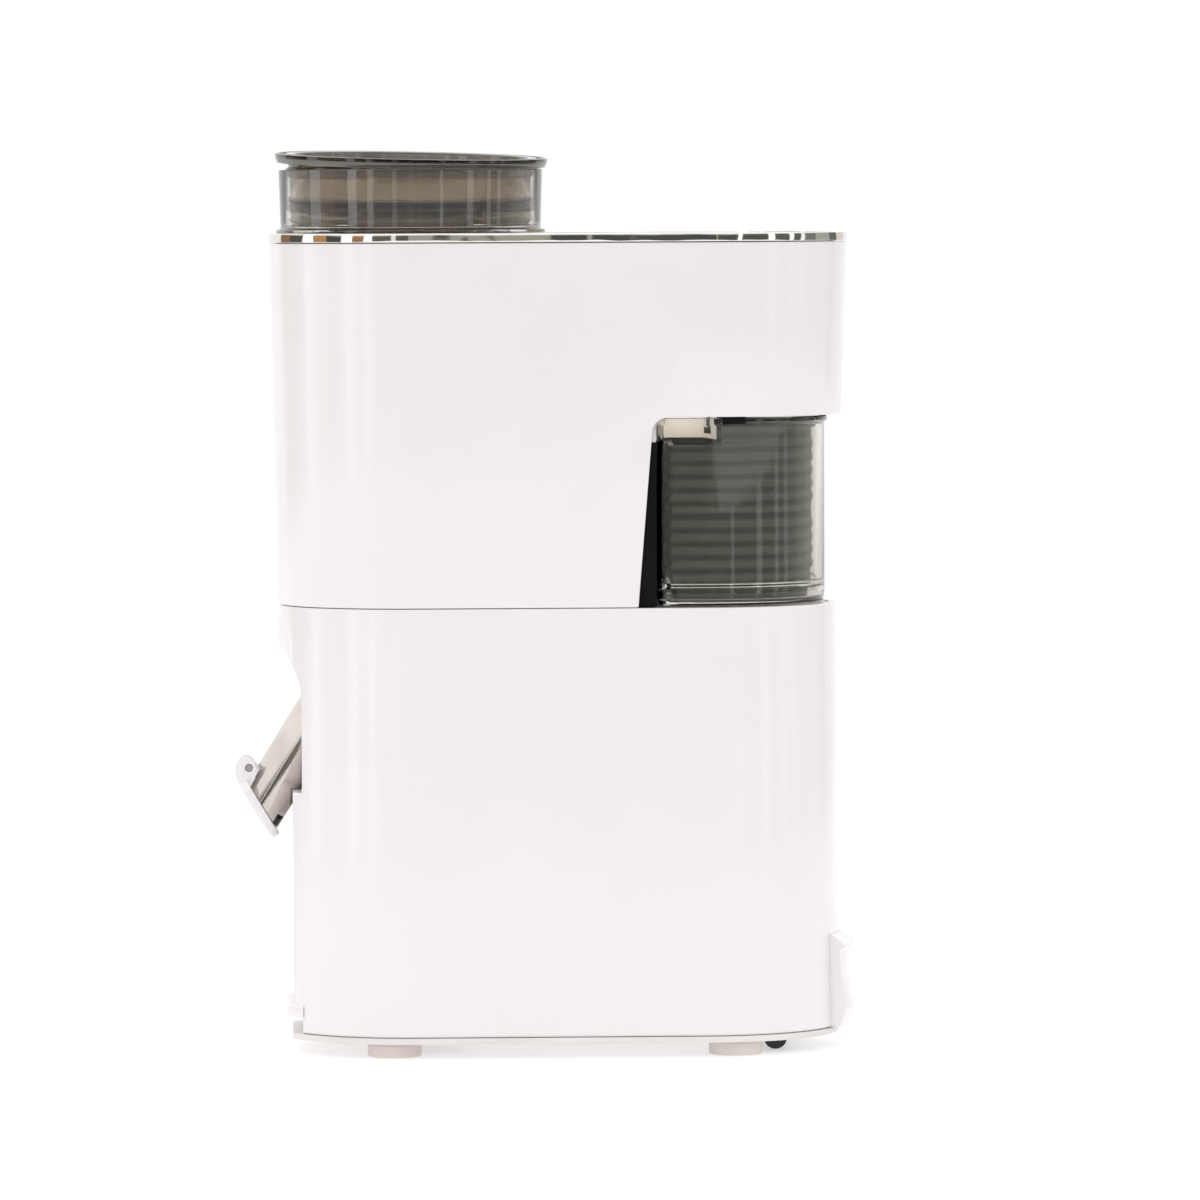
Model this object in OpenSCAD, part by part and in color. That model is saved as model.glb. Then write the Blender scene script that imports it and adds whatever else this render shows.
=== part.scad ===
/* [Body] */
// Radius of the rounded front and rear ends at the seam between the housings
body_r = 60; // [58:0.5:61]
// X of the axis of the rounded rear end
rear_x = 70; // [68:0.5:72]
// Height of the seam between the lower and the upper housing
seam_z = 200; // [199:0.5:201]
// Height of the top edge of the upper housing
top_z = 362; // [361:0.5:364]
// Height of the underside of the base above the table
base_z = 6.5; // [6.5:0.1:7]
// Wall thickness of the two housings
wall = 2.8; // [2.4:0.1:3]
// How much wider the upper housing is at its top, on each side
top_flare = 3.3; // [2.8:0.1:3.8]
// How much wider the lower housing is at its bottom, on each side
low_flare = 1.7; // [1.2:0.1:2]

/* [Feeding] */
// X of the drive axis, which is also the axis of the hopper and of the rounded front end
drive_x = -60; // [-61:0.5:-59]
// Outer radius of the clear hopper at its rim
hopper_r = 59.2; // [58.6:0.1:59.6]
// Height of the hopper's rim
hopper_z = 395.4; // [394:0.2:396]
// Inner radius of the feed throat
throat_r = 30; // [29:0.5:31]
// Outer radius of the pusher's flange
pusher_r = 61.2; // [60.4:0.1:61.8]
// Height of the pusher's top edge
pusher_z = 401.2; // [400.8:0.2:402]

/* [Juicing] */
// Outer radius of the juice bowl
bowl_r = 56.6; // [56:0.1:56.8]
// Radius of the filter basket at its bottom
basket_r = 38; // [37:0.5:39]
// Radius of the filter basket at its top
basket_top_r = 48; // [47:0.5:49]

/* [Spout] */
// Outer radius of the steel spout tube
spout_r = 11.2; // [10.6:0.1:11.4]
// Slope of the spout above horizontal
spout_angle = 58; // [56:0.5:60]
// Lean of the flap from upright
flap_lean = 31; // [29:0.5:33]
// X of the centre of the spout's open end
spout_x = -127.85; // [-129:0.05:-127]
// Height of the centre of the spout's open end
spout_z = 109.9; // [109:0.1:111]

/* [Pulp container] */
// X of the front wall of the pulp container
jar_x = 49.5; // [49:0.5:50]
// Radius of the pulp container's rounded rear
jar_r = 55.5; // [54.5:0.5:56]
// Height of the pulp container's rim
jar_z = 284; // [283:0.2:284.2]

/* [Mains cord] */
// Diameter of the mains cord
cord_d = 6; // [5.6:0.1:6.2]
// X of the coil's centre
coil_x = 55; // [50:1:58]
// Y of the coil's centre
coil_y = 118; // [117:1:122]

/* [Hidden] */
$fn = 96;
eps = 0.01;

// Housings
low_z = base_z + 3;
rear_lean = 2.4;
liner_z = seam_z + 84.6;
recess_x = drive_x - 50.3;
recess_r = 34.2;
recess_z = 158;
panel_x = recess_x - 4.1;
panel_top = 117;
lip_z = [16.7, 22.5];
lip_x = panel_x - 2.7;
base_front = drive_x - 55;
foot_r = 12;
foot_x = [-69.6, 82.6];
foot_y = 42;
function low_r(z) = body_r + low_flare * (seam_z - z) / (seam_z - low_z);
function top_r(z) = body_r + top_flare * (z - seam_z) / (top_z - seam_z);

// Cut-out for the pulp container, as an outline in X and Z
cut_bottom = 40.9;
cut_bend = 46.5;
cut_top = 54;

// Rocker switch in the front panel
rocker_z = 92;
rocker_w = 15.2;
rocker_h = 16;
rocker_pin_x = recess_x - 2.1;
rocker_pin_r = 1;
run_gap = 0.05;

// Motor
frame_r = 42;
post_at = 27;
post_r = 2.5;
shaft_r = 4;
bearing_r = 9;
low_bracket_z = 30;
top_bracket_z = 118;
bracket_h = 4;
stator_z = [62, 92];
stator_r = [20.6, 33];

// Bowl, duct and spout
bowl_z = seam_z + 3;
bowl_top = 289;
duct_x = -96;
duct_r = 11.5;
duct_bore = 9.4;
sleeve_r = 13.6;
pin_r = 1.45;
ear_y = [6.3, 9.3];
ear_r = 4.75;
ear_at = [2.88, 18.1];
pin_in = 3.54;
pin_up = 17.76;

// Lid, hood and collar
hood_z = bowl_top + 1;
hood_top = 314;
hood_r = 56;
hood_wall = 2.5;
channel_y = 24;
collar_x = [48.5, 76];
collar_y = 20;
collar_z = 273;

// Pulp container
jar_wall = 3;
jar_base_z = seam_z + 0.4;
bin_gap = 2.8;
bin_wall = 1.8;
notch_y = 22;
notch_z = 271;

// Coil, and the mains cord's route: out of the gland under the base, back and into the coil
tie_gap = 0.8;
layer_h = 5.2;
turn_r = 5.6 * cord_d;
coil_in = turn_r - 1.55 * cord_d;
coil_out = turn_r + 1.55 * cord_d;
coil_top = tie_gap + cord_d + layer_h + 0.1;
gland_x = 101;
cord_sides = 8;
cord_path = [[101, 5, 6], [101, 15, 5.6], [101, 25, 4.6], [101, 35, 3.5], [101, 45, 3.05],
    [101, 55, 3.05], [101, 65, 3.05], [100.5, 75, 3.05], [99, 85, 3.05], [97, 96, 3.2],
    [95.4, 107, 3.5]];
tail_path = [[18.4, 111, 9], [18.4, 104, 9], [18.4, 98, 9], [17.48, 91.01, 8.56],
    [14.78, 84.5, 7.46], [10.49, 78.91, 6.03], [4.9, 74.62, 4.59], [-1.61, 71.92, 3.49],
    [-8.6, 71, 3.05], [-15.59, 71.92, 3.34], [-22.1, 74.62, 4.07], [-27.69, 78.91, 5.03],
    [-31.98, 84.5, 5.98], [-34.68, 91.01, 6.71], [-35.6, 98, 7], [-35.6, 100, 7]];
tail_end = tail_path[len(tail_path) - 1];
plug_size = [22, 32, 14];

// ---- Shared shapes ----

// Plan of the body: two round ends joined by straight sides
module stadium(r, x_rear = rear_x) {
    translate([drive_x, 0]) circle(r);
    translate([x_rear, 0]) circle(r);
    translate([drive_x, -r]) square([x_rear - drive_x, 2 * r]);
}

module straight_body(r, z0, z1) {
    translate([0, 0, z0]) linear_extrude(z1 - z0) stadium(r);
}

// Flared body between two heights, inset by a wall thickness
module flared(z0, r0, z1, r1, lean = 0) {
    hull() {
        translate([0, 0, z0]) linear_extrude(eps) stadium(r0);
        translate([0, 0, z1 - eps]) linear_extrude(eps) stadium(r1, rear_x + lean);
    }
}

// A ring about a vertical axis at x
module ring(x, r_in, r_out, z0, z1) {
    translate([x, 0, z0]) difference() {
        cylinder(r = r_out, h = z1 - z0);
        translate([0, 0, -1]) cylinder(r = r_in, h = z1 - z0 + 2);
    }
}

module disc(x, r, z0, z1) {
    translate([x, 0, z0]) cylinder(r = r, h = z1 - z0);
}

// A block centred on Y = 0
module block(x0, x1, half_y, z0, z1) {
    translate([x0, -half_y, z0]) cube([x1 - x0, 2 * half_y, z1 - z0]);
}

// A rod along Y, centred on Y = 0
module y_rod(r, half_y) {
    rotate([90, 0, 0]) cylinder(r = r, h = 2 * half_y, center = true);
}

// Four copies at the corners of a square about the drive axis
module square_about_axis(d) {
    for (sx = [-1, 1], sy = [-1, 1]) translate([drive_x + sx * d, sy * d, 0]) children();
}

// The hollow under the spout, where a glass stands; grow moves its surface into the body
module glass_recess(grow = 0) {
    block(drive_x - 80, recess_x + grow, 90, -1, recess_z);
    translate([recess_x - recess_r, 0, recess_z]) y_rod(recess_r + grow, 90);
}

// Local frame of the spout: +Z up along the tube, origin at the centre of its open end
module on_spout() {
    translate([spout_x, 0, spout_z]) rotate([0, 90 - spout_angle, 0]) children();
}

// Local frame of the flap: +Z up along its plate, +X into the tube
module on_flap() {
    translate([spout_x, 0, spout_z]) rotate([0, -flap_lean, 0]) children();
}

// ---- Base ----

module lower_housing() {
    color("white") difference() {
        flared(low_z, low_r(low_z), seam_z, body_r);
        glass_recess();
        difference() {
            flared(low_z - 1, low_r(low_z) - wall, seam_z + 1, body_r - wall);
            glass_recess(wall);
        }
        on_spout() translate([0, 0, 8]) cylinder(r = spout_r + 0.4, h = 44);
        block(recess_x - 5, recess_x + 5, rocker_w / 2 + 0.6, rocker_z - 8.2, rocker_z + 8.2);
    }
}

module front_panel() {
    color("white") difference() {
        union() {
            intersection() {
                straight_body(low_r(60), lip_z[0], panel_top);
                block(panel_x, recess_x - 0.1, 40, 0, 200);
            }
            intersection() {
                straight_body(low_r(low_z) + 1, lip_z[0], lip_z[1]);
                block(lip_x, recess_x - 0.1, 40, 0, 200);
            }
        }
        block(panel_x - 1, recess_x + 1, rocker_w / 2 + 0.5, rocker_z - 9.4, rocker_z + 9.4);
        on_spout() translate([0, 0, -10]) cylinder(r = spout_r + 0.8, h = 60);
        translate([rocker_pin_x, 0, rocker_z]) y_rod(rocker_pin_r, 10);
    }
}

module rocker_pin() {
    color("silver") translate([rocker_pin_x, 0, rocker_z]) y_rod(rocker_pin_r, 9.8);
}

module power_rocker() {
    color("gray") difference() {
        block(panel_x - 0.9, rocker_pin_x + 1.5, rocker_w / 2, rocker_z - rocker_h / 2, rocker_z + rocker_h / 2);
        translate([rocker_pin_x, 0, rocker_z]) y_rod(rocker_pin_r + run_gap, 10);
    }
}

module switch_body() {
    color("black") block(recess_x + 0.6, recess_x + 13, 8, rocker_z - 8, rocker_z + 8);
}

module deck() {
    color("white") difference() {
        straight_body(body_r - wall - 0.4, seam_z - 4, seam_z - 0.3);
        disc(drive_x, 9.5, seam_z - 5, seam_z + 1);
        disc(duct_x, duct_r + 0.3, seam_z - 5, seam_z + 1);
    }
}

module bottom_cover() {
    channel_in = 6;
    channel_wall = 1.8;
    color("white") difference() {
        union() {
            straight_body(low_r(low_z) - 0.2, base_z, low_z - 0.1);
            difference() {
                straight_body(low_r(low_z) - wall - 0.5, low_z - 0.2, low_z + 4);
                straight_body(low_r(low_z) - wall - 2.3, low_z - 1, low_z + 5);
            }
            translate([gland_x - channel_in - channel_wall, -36, base_z])
                cube([2 * (channel_in + channel_wall), 80, 8.5]);
        }
        block(drive_x - 80, base_front, 90, 0, low_z);
        block(drive_x - 80, recess_x + wall + 0.5, 90, low_z - 0.1, low_z + 5);
        translate([gland_x - channel_in, -32, base_z - 1]) cube([2 * channel_in, 80, 7.7]);
        for (k = [-4:4]) translate([drive_x - 20, k * 7 - 1.5, base_z - 1]) cube([40, 3, 5]);
        for (x = foot_x, sy = [-1, 1]) translate([x, sy * foot_y, base_z - 1]) cylinder(r = 2.2, h = 5);
    }
}

module feet() {
    color("linen") for (x = foot_x, sy = [-1, 1]) translate([x, sy * foot_y, 0]) {
        cylinder(r1 = foot_r - 1, r2 = foot_r, h = 1.2);
        translate([0, 0, 1.2]) cylinder(r = foot_r, h = base_z - 1.2);
    }
}

module base_screws() {
    color("silver") for (x = foot_x, sy = [-1, 1]) translate([x, sy * foot_y, base_z])
        union() {
            cylinder(r = 2, h = low_z + 2.5 - base_z);
            translate([0, 0, low_z - base_z]) cylinder(r = 3.6, h = 2.5);
        }
}

module cord_wrap() {
    arc = 50;
    color("white") translate([rear_x, 0, 0]) rotate([0, 0, -arc / 2]) rotate_extrude(angle = arc)
        difference() {
            polygon([[62, 10], [66.7, 10], [67.6, 14.4], [69.45, 18], [68.5, 22.5], [67.2, 31.5],
                [66.1, 45], [69.45, 46.4], [62, 52.2]]);
            translate([64.2, 14]) square([2.2, 7]);
        }
}

module cord_gland() {
    color("black") translate([gland_x, -31, base_z - 0.5]) rotate([-90, 0, 0])
        union() {
            cylinder(r = 5.2, h = 6);
            translate([0, 0, 6]) cylinder(r1 = 5, r2 = cord_d / 2 + 0.5, h = 30);
        }
}

// ---- Motor ----

module motor_stator() {
    color("dimgray") ring(drive_x, stator_r[0], stator_r[1], stator_z[0], stator_z[1]);
}

module field_coils() {
    color("chocolate") for (z = [stator_z[0] - 6.2, stator_z[1] + 0.2])
        ring(drive_x, stator_r[0] + 0.8, stator_r[1] - 4, z, z + 6);
}

module bracket(z) {
    color("silver") difference() {
        disc(drive_x, frame_r, z, z + bracket_h);
        disc(drive_x, bearing_r, z - 1, z + bracket_h + 1);
        for (a = [0:45:315]) translate([drive_x, 0, z - 1]) rotate([0, 0, a])
            translate([22, 0, 0]) cylinder(r = 5, h = bracket_h + 2);
    }
}

module lower_bracket() { bracket(low_bracket_z); }

module upper_bracket() { bracket(top_bracket_z); }

module bracket_posts() {
    color("silver") square_about_axis(post_at) translate([0, 0, low_bracket_z + bracket_h])
        cylinder(r = post_r, h = top_bracket_z - low_bracket_z - bracket_h);
}

module motor_mounts() {
    color("black") square_about_axis(post_at - 5) translate([0, 0, low_z])
        cylinder(r = 5, h = low_bracket_z - low_z);
}

module bearing(z) {
    color("silver") ring(drive_x, shaft_r + run_gap, bearing_r, z - 1, z + bracket_h + 1);
}

module lower_bearing() { bearing(low_bracket_z); }

module upper_bearing() { bearing(top_bracket_z); }

module carbon_brushes() {
    color("black") for (sy = [-1, 1]) translate([drive_x - 3, sy > 0 ? 11.4 : -24, 102])
        cube([6, 12.6, 8]);
}

module control_board() {
    color("darkgreen") union() {
        block(56, 57.6, 36, 40, 112);
        block(57.6, 68, 12, 50, 66);
        block(57.6, 64, 9, 74, 84);
    }
}

module suppression_capacitor() {
    color("steelblue") translate([57.6, 24, 95]) rotate([0, 90, 0]) cylinder(r = 7, h = 22);
}

module motor_shaft() {
    color("silver") disc(drive_x, shaft_r, 26, seam_z + 6);
}

module armature() {
    color("dimgray") ring(drive_x, shaft_r, stator_r[0] - 0.7, stator_z[0] - 3, stator_z[1] + 3);
}

module commutator() {
    color("peru") ring(drive_x, shaft_r, 11, 99, 113);
}

module cooling_fan() {
    blades = 9;
    color("black") {
        ring(drive_x, shaft_r, 9, 38, 50);
        ring(drive_x, 9, 30, 38, 40);
        for (k = [0:blades - 1]) translate([drive_x, 0, 40]) rotate([0, 0, k * 360 / blades])
            translate([8.5, -0.8, -0.5]) cube([21, 1.6, 10.5]);
    }
}

// ---- Bowl, basket and spout ----

module juice_bowl() {
    floor_top = bowl_z + 3;
    color("silver") difference() {
        union() {
            disc(drive_x, bowl_r, bowl_z, bowl_top);
            ring(drive_x, 44, 48, seam_z - 0.1, bowl_z + 1);
            disc(duct_x, duct_bore - 0.2, seam_z - 12, bowl_z + 1);
        }
        difference() {
            disc(drive_x, bowl_r - 2.5, floor_top, bowl_top + 1);
            disc(drive_x, 11, floor_top - 1, floor_top + 3.5);
        }
        disc(drive_x, 9, bowl_z - 1, bowl_top);
        disc(duct_x, duct_bore - 2, seam_z - 13, floor_top + 1);
    }
}

module shaft_seal() {
    color("black") ring(drive_x, shaft_r + 0.5, 9.4, seam_z - 3.8, seam_z - 0.6);
}

module juice_elbow() {
    meet = (duct_x - spout_x) / cos(spout_angle);
    meet_z = spout_z + meet * sin(spout_angle);
    seat = 44;
    color("white") difference() {
        union() {
            disc(duct_x, duct_r, meet_z - 8, seam_z - 4.2);
            intersection() {
                on_spout() translate([0, 0, 20]) cylinder(r = sleeve_r, h = meet - 17);
                block(recess_x + wall + 0.1, 0, 40, 0, 300);
            }
        }
        on_spout() translate([0, 0, 15]) cylinder(r = spout_r, h = seat - 15);
        on_spout() translate([0, 0, seat - 1]) cylinder(r = duct_bore - 0.5, h = meet - seat + 3);
        disc(duct_x, duct_bore, meet_z - 5, seam_z);
    }
}

module spout_tube() {
    color("silver") difference() {
        on_spout() translate([0, 0, -12]) cylinder(r = spout_r, h = 56);
        on_spout() translate([0, 0, -13]) cylinder(r = spout_r - 1, h = 58);
        on_flap() translate([-40, -30, -40]) cube([40, 60, 80]);
    }
}

module flap_bracket() {
    color("white") difference() {
        on_flap() union() {
            translate([pin_in, 0, pin_up]) y_rod(3, 5.9);
            translate([pin_in - 0.5, -5.9, 10]) cube([6, 11.8, pin_up - 8]);
        }
        on_spout() translate([0, 0, -20]) cylinder(r = spout_r, h = 60);
        on_flap() translate([pin_in, 0, pin_up]) y_rod(pin_r, 10);
    }
}

module flap_pin() {
    color("silver") on_flap() translate([pin_in, 0, pin_up]) y_rod(pin_r, ear_y[1] + 0.3);
}

module spout_flap() {
    half_w = 14;
    plate = [-4.2, -0.3];
    color("white") on_flap() difference() {
        union() {
            intersection() {
                translate([plate[0], -half_w, -15]) cube([plate[1] - plate[0], 2 * half_w, 31]);
                translate([0, 0, 1]) rotate([0, 90, 0]) cylinder(r = 16.5, h = 20, center = true);
            }
            for (sy = [-1, 1]) translate([0, sy * (ear_y[0] + ear_y[1]) / 2, 0]) {
                half_ear = (ear_y[1] - ear_y[0]) / 2;
                translate([ear_at[0], 0, ear_at[1]]) y_rod(ear_r, half_ear);
                translate([plate[0], -half_ear, 13.6]) cube([ear_at[0] - plate[0], 2 * half_ear, 1.9]);
            }
        }
        translate([pin_in, 0, pin_up]) y_rod(pin_r + run_gap, 20);
    }
}

module drive_coupling() {
    color("black") difference() {
        disc(drive_x, 7.5, seam_z + 0.5, seam_z + 18);
        disc(drive_x, shaft_r, seam_z - 1, seam_z + 6);
    }
}

module filter_basket() {
    bottom = bowl_z + 8;
    skin = 0.8;
    color("silver") translate([drive_x, 0, bottom]) {
        difference() {
            cylinder(r1 = basket_r, r2 = basket_top_r, h = 71);
            translate([0, 0, -eps]) cylinder(r1 = basket_r - skin, r2 = basket_top_r - skin, h = 71 + 2 * eps);
        }
        difference() {
            cylinder(r = basket_r - skin + 0.1, h = 1.2);
            translate([0, 0, -1]) cylinder(r = 7.5, h = 4);
        }
        difference() {
            cylinder(r = 11, h = 8);
            translate([0, 0, -1]) cylinder(r = 7.5, h = 10);
        }
    }
}

module basket_rim() {
    color("white") ring(drive_x, basket_top_r - 2.4, basket_top_r + 1.8, bowl_z + 79.1, bowl_z + 82);
}

module grater_disc() {
    rows = 12;
    plate_z = bowl_z + 9.4;
    color("silver") {
        ring(drive_x, 11.2, basket_r - 1.4, plate_z, plate_z + 1.2);
        for (k = [0:rows - 1]) translate([drive_x, 0, plate_z + 0.6]) rotate([0, 0, k * 360 / rows])
            for (d = [15 + (k % 2) * 3:6:34]) translate([d, -1, 0]) cube([1, 2, 1.9]);
    }
}

// ---- Upper housing ----

// Outline of the opening for the pulp container, as seen from the side
module bin_opening() {
    corner = cut_top - cut_bend;
    rotate([90, 0, 0]) linear_extrude(200, center = true) {
        difference() {
            polygon([[cut_bottom, seam_z - 1], [cut_bend, liner_z - corner - 2], [cut_bend, liner_z],
                [200, liner_z], [200, seam_z - 1]]);
            difference() {
                translate([cut_bend - 1, liner_z - corner]) square([corner + 1, corner + 1]);
                translate([cut_top, liner_z - corner]) circle(corner);
            }
        }
    }
}

module upper_housing() {
    color("white") difference() {
        flared(seam_z + 0.3, body_r, top_z, body_r + top_flare, rear_lean);
        flared(seam_z - 1, body_r - wall, top_z + 1, body_r + top_flare - wall, rear_lean);
        bin_opening();
    }
}

module niche_liner() {
    color("dimgray") union() {
        block(38, 40.4, body_r - wall - 0.5, seam_z + 0.3, liner_z + 2.4);
        difference() {
            straight_body(body_r - wall + 0.8, liner_z + 0.2, liner_z + 2.4);
            block(-200, 40, 100, liner_z - 1, liner_z + 4);
            block(collar_x[0] - 2, collar_x[1] + 2, collar_y + 2, liner_z - 1, liner_z + 4);
        }
    }
}

module reed_switch() {
    color("black") block(122, 130, 6, 332, 346);
}

// ---- Lid ----

module lid_plate() {
    color("white") difference() {
        union() {
            straight_body(body_r + 1.1, top_z + 0.4, top_z + 4);
            difference() {
                straight_body(body_r, top_z - 6, top_z + 1);
                straight_body(body_r - 2.4, top_z - 7, top_z + 0.4);
            }
        }
        disc(drive_x, throat_r + 3, top_z - 10, top_z + 10);
    }
}

module lid_trim() {
    color("gainsboro") difference() {
        translate([0, 0, top_z + 0.4]) linear_extrude(4) stadium(body_r + top_flare + 0.5, rear_x + rear_lean);
        straight_body(body_r + 1.1, top_z - 1, top_z + 6);
    }
}

module lid_magnet() {
    color("silver") block(116, 126, 6, top_z - 5, top_z + 0.3);
}

module hopper() {
    skin = 1.7;
    foot_z = top_z + 4.4;
    color("lightgray", 0.5) difference() {
        union() {
            translate([drive_x, 0, foot_z]) cylinder(r1 = hopper_r - 0.9, r2 = hopper_r, h = hopper_z - foot_z);
            disc(drive_x, hopper_r + 1.3, foot_z, foot_z + 1.6);
            disc(drive_x, throat_r + 2.5, bowl_z + 19, foot_z);
            disc(drive_x, throat_r + 5.5, hood_top + 0.1, hood_top + 2);
        }
        translate([drive_x, 0, foot_z + 2.2])
            cylinder(r1 = hopper_r - 0.9 - skin, r2 = hopper_r - skin, h = hopper_z - foot_z - 2.2 + eps);
        disc(drive_x, throat_r, bowl_z + 18, foot_z + 3);
    }
}

module pulp_hood() {
    w = hood_wall;
    color("whitesmoke") difference() {
        union() {
            disc(drive_x, hood_r, hood_z, hood_top);
            block(drive_x + 20, collar_x[1], channel_y, hood_z - 1.4, hood_top);
            block(collar_x[0], collar_x[1], collar_y, collar_z, hood_z);
        }
        disc(drive_x, hood_r - w, hood_z - 5, hood_top - w);
        block(drive_x + 20, collar_x[1] - w, channel_y - w, hood_z + 1, hood_top - w);
        block(collar_x[0] + w, collar_x[1] - w, collar_y - w, collar_z - 1, hood_z + 2);
        block(drive_x + 10, drive_x + bowl_r + 0.6, 60, hood_z - 3, hood_z);
        block(collar_x[1] - 5.6, collar_x[1] - 2.4, collar_y + 5, collar_z + 2, hood_z - 3);
        disc(drive_x, throat_r + 2.7, hood_z, hood_top + 1);
    }
}

module cover_gasket() {
    color("black") ring(drive_x, hood_r - 2.2, hood_r - 0.2, hood_z - 0.7, hood_z);
}

// ---- Pusher ----

module pusher_cup() {
    r = hopper_r - 4.2;
    floor_z = top_z + 14.2;
    color("dimgray", 0.6) difference() {
        union() {
            disc(drive_x, r, floor_z, hopper_z + 2);
            disc(drive_x, r - 0.4, floor_z - 6.6, floor_z + 1);
            translate([drive_x, 0, hopper_z + 0.4]) cylinder(r1 = pusher_r - 1, r2 = pusher_r, h = pusher_z - hopper_z - 0.4);
        }
        disc(drive_x, r - 2.5, floor_z + 3.6, pusher_z + 1);
        disc(drive_x, r - 2, floor_z - 8, floor_z);
        ring(drive_x, r + 1.2, pusher_r - 1.6, pusher_z - 1.4, pusher_z + 1);
    }
}

module pusher_plunger() {
    r = throat_r - 1.5;
    color("dimgray", 0.6) difference() {
        disc(drive_x, r, 300, top_z + 14.2);
        disc(drive_x, r - 2.5, 303, top_z + 15);
    }
}

module pusher_ring() {
    color("black") ring(drive_x, hopper_r - 4.2, hopper_r - 3.2, top_z + 14.6, top_z + 16.6);
}

// ---- Pulp container ----

module jar_plan(x0, r) {
    translate([rear_x, 0]) intersection() {
        circle(r);
        translate([0, -r]) square([r, 2 * r]);
    }
    translate([x0, -r]) square([rear_x - x0, 2 * r]);
}

module jar_block(x0, r, z0, z1) {
    translate([0, 0, z0]) linear_extrude(z1 - z0) jar_plan(x0, r);
}

module pulp_jar() {
    color("lightgray", 0.5) difference() {
        union() {
            jar_block(jar_x, jar_r, jar_base_z, jar_z);
            intersection() {
                jar_block(jar_x, jar_r + 1.5, jar_z - 2.4, jar_z);
                block(rear_x + 10, 200, 100, 0, 400);
            }
        }
        jar_block(jar_x + jar_wall, jar_r - jar_wall, jar_base_z + 7.6, jar_z + 1);
        block(jar_x - 1, jar_x + jar_wall + 1, notch_y, notch_z, jar_z + 1);
    }
}

module pulp_bin() {
    x0 = jar_x + jar_wall + 0.6;
    r = jar_r - jar_wall - bin_gap;
    z0 = jar_base_z + 8.2;
    z1 = jar_z - 3;
    color("darkslategray") difference() {
        union() {
            jar_block(x0, r, z0, z1);
            for (z = [z0 + 8:6:z1 - 8]) jar_block(x0, r + 0.8, z, z + 2.4);
            jar_block(x0, r + bin_gap - 0.3, z1 - 2, z1);
        }
        jar_block(x0 + bin_wall, r - bin_wall, z0 + 2, z1 + 1);
        block(x0 - 1, x0 + bin_wall + 1, notch_y, notch_z, z1 + 1);
    }
}

// ---- Mains cord ----

// A tube of n sides swept along a list of points
module swept_tube(path, r, n) {
    last = len(path) - 1;
    function along(k) = path[min(k + 1, last)] - path[max(k - 1, 0)];
    function unit(v) = v / norm(v);
    function side(k) = unit(cross(along(k), [0, 0, 1]));
    function up(k) = unit(cross(side(k), along(k)));
    points = [for (k = [0:last]) for (j = [0:n - 1])
        path[k] + r * (cos(360 * j / n) * side(k) + sin(360 * j / n) * up(k))];
    walls = [for (k = [0:last - 1]) for (j = [0:n - 1])
        [k * n + j, k * n + (j + 1) % n, (k + 1) * n + (j + 1) % n, (k + 1) * n + j]];
    start = [for (j = [n - 1:-1:0]) j];
    end = [for (j = [0:n - 1]) last * n + j];
    polyhedron(points = points, faces = concat([start], walls, [end]), convexity = 10);
}

module mains_cord() {
    color("black") swept_tube(cord_path, cord_d / 2, cord_sides);
}

module cord_tail() {
    color("black") swept_tube(tail_path, cord_d / 2, cord_sides);
}

module mains_coil() {
    color("black") translate([coil_x, coil_y, 0]) rotate_extrude()
        translate([coil_in, tie_gap]) square([coil_out - coil_in, coil_top - tie_gap]);
}

module coil_tie() {
    band = 0.6;
    color("gray") translate([coil_x, coil_y + coil_in, 0]) difference() {
        translate([-3, -band, 0]) cube([6, coil_out - coil_in + 2 * band, coil_top + band]);
        translate([-5, 0, tie_gap - 0.1]) cube([10, coil_out - coil_in, coil_top - tie_gap + 0.1]);
    }
}

module mains_plug() {
    color("black") translate([tail_end[0], tail_end[1], tail_end[2]]) rotate([-90, 0, 0]) {
        cylinder(r1 = cord_d / 2 + 0.6, r2 = plug_size[2] / 2 - 0.6, h = 16);
        translate([-plug_size[0] / 2, -plug_size[2] / 2 + 0.1, 16])
            cube([plug_size[0], plug_size[2] - 0.2, plug_size[1] - 16]);
    }
}

module plug_prongs() {
    color("gold") for (sx = [-1, 1])
        translate([tail_end[0] + sx * 6.35 - 0.75, tail_end[1] + plug_size[1], tail_end[2] - 3.2])
            cube([1.5, 17, 6.4]);
}

lower_housing();
front_panel();
deck();
bottom_cover();
feet();
cord_wrap();
base_screws();
motor_stator();
field_coils();
lower_bracket();
upper_bracket();
bracket_posts();
motor_mounts();
lower_bearing();
upper_bearing();
carbon_brushes();
control_board();
suppression_capacitor();
switch_body();
rocker_pin();
juice_bowl();
shaft_seal();
juice_elbow();
spout_tube();
flap_bracket();
flap_pin();
upper_housing();
niche_liner();
reed_switch();
cord_gland();
motor_shaft();
armature();
commutator();
cooling_fan();
drive_coupling();
filter_basket();
basket_rim();
grater_disc();
lid_plate();
lid_trim();
hopper();
pulp_hood();
cover_gasket();
lid_magnet();
pusher_cup();
pusher_plunger();
pusher_ring();
spout_flap();
pulp_jar();
pulp_bin();
power_rocker();
mains_cord();
mains_coil();
cord_tail();
coil_tie();
mains_plug();
plug_prongs();
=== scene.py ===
# %% [markdown]
# # A centrifugal juicer, built piece by piece
# The CAD model gives the frame: where each piece sits and how far each body moves.
# This lesson dresses that frame. Every piece that shows is made again with rounded edges and smooth
# curves, and every inner piece keeps its CAD shape and gets a finish of its own.

# %% Load the frame
import math
import bpy
from mathutils import Matrix, Vector


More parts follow.
